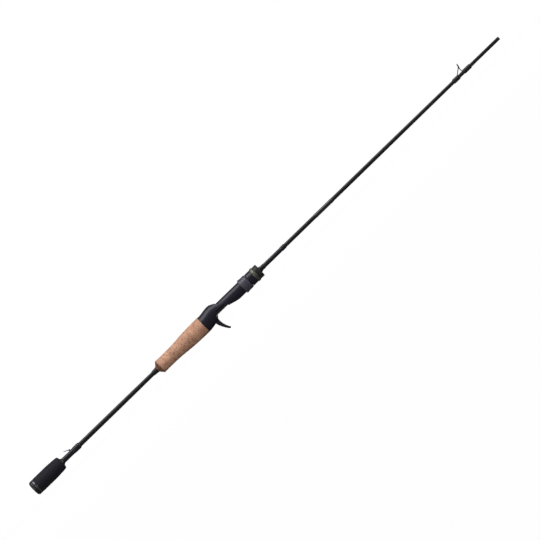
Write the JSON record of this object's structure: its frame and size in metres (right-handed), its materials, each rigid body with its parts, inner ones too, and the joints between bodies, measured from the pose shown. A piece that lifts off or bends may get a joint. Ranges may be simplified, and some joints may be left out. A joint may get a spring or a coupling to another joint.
{
  "type": "casting rod butt section",
  "caption": "Handle section of a two-piece casting rod: foam butt grip, cork grip, trigger reel seat with sliding hood and lock nut, folding hook keeper, line guide and ferrule spigot.",
  "frame": {"origin": "centre of the butt cap's flat end face, on the rod's axis", "axes": "+X along the rod's axis from the butt to the ferrule spigot, +Z towards the side that carries the reel and the line guide, trigger towards -Z, +Y to the left when looking along +X"},
  "size_m": [1.104, 0.032, 0.0547],
  "materials": {
    "carbon_blank": "clear varnished carbon tube",
    "cap_rubber": "satin moulded rubber",
    "bright_trim": "polished ring",
    "eva_foam": "fine matt foam",
    "dark_check": "satin",
    "thread_varnish": "gloss varnish over thread",
    "clear_sleeve": "clear gloss over the blank",
    "keeper_steel": "dark plated wire",
    "burnt_cork": "burnt composite cork",
    "cork": "sanded natural cork",
    "seat_resin": "satin dark violet coat",
    "arbor_foam": "matt foam",
    "washer_resin": "satin",
    "olive_trim": "satin anodised",
    "nut_rubber": "ribbed satin",
    "guide_steel": "dark gunmetal",
    "guide_ceramic": "polished dark ceramic"
  },
  "bodies": {
    "rod": {"blank": "carbon_blank", "ferrule_spigot": "carbon_blank", "butt_cap": "cap_rubber", "butt_trim_ring": "bright_trim", "butt_grip": "eva_foam", "butt_check": "dark_check", "cork_check": "dark_check", "front_check": "dark_check", "butt_wrap": "thread_varnish", "keeper_wrap": "thread_varnish", "front_wrap_1": "thread_varnish", "front_wrap_2": "thread_varnish", "front_wrap_3": "thread_varnish", "guide_wrap_rear": "thread_varnish", "guide_wrap_front": "thread_varnish", "label_sleeve": "clear_sleeve", "label_end_band": "clear_sleeve", "blank_sleeve": "clear_sleeve", "keeper_base": "keeper_steel", "cork_end_ring": "burnt_cork", "cork_ring_1": "cork", "cork_ring_2": "cork", "cork_ring_3": "cork", "cork_ring_4": "cork", "cork_ring_5": "cork", "cork_ring_6": "cork", "cork_ring_7": "cork", "cork_ring_8": "cork", "reel_seat_body": "seat_resin", "seat_arbor_rear": "arbor_foam", "seat_arbor_middle": "arbor_foam", "seat_arbor_front": "arbor_foam", "guide_frame": "guide_steel", "guide_ring_insert": "guide_ceramic"},
    "hood": {"movable_hood": "seat_resin", "hood_slip_washer": "washer_resin"},
    "lock_nut": {"nut_core": "washer_resin", "nut_sleeve": "seat_resin", "nut_trim_ring": "olive_trim", "nut_grip": "nut_rubber"},
    "keeper": {"keeper_loop": "keeper_steel"}
  },
  "joints": [
    {"name": "nut_turn", "type": "hinge", "parent": "hood", "child": "lock_nut", "pos_m": [0.52, 0, 0], "axis": [1, 0, 0], "range_deg": [-2304, 0]},
    {"name": "hood_slide", "type": "slide", "parent": "rod", "child": "hood", "axis": [1, 0, 0], "range_m": [-0.0128, 0]},
    {"name": "keeper_fold", "type": "hinge", "parent": "rod", "child": "keeper", "pos_m": [0.0903, 0, 0.0063], "axis": [0, 1, 0], "range_deg": [-30, 150]}
  ],
  "couplings": [
    {"joint": "hood_slide", "follows": "nut_turn", "m_per_rad": 0.00031831}
  ]
}
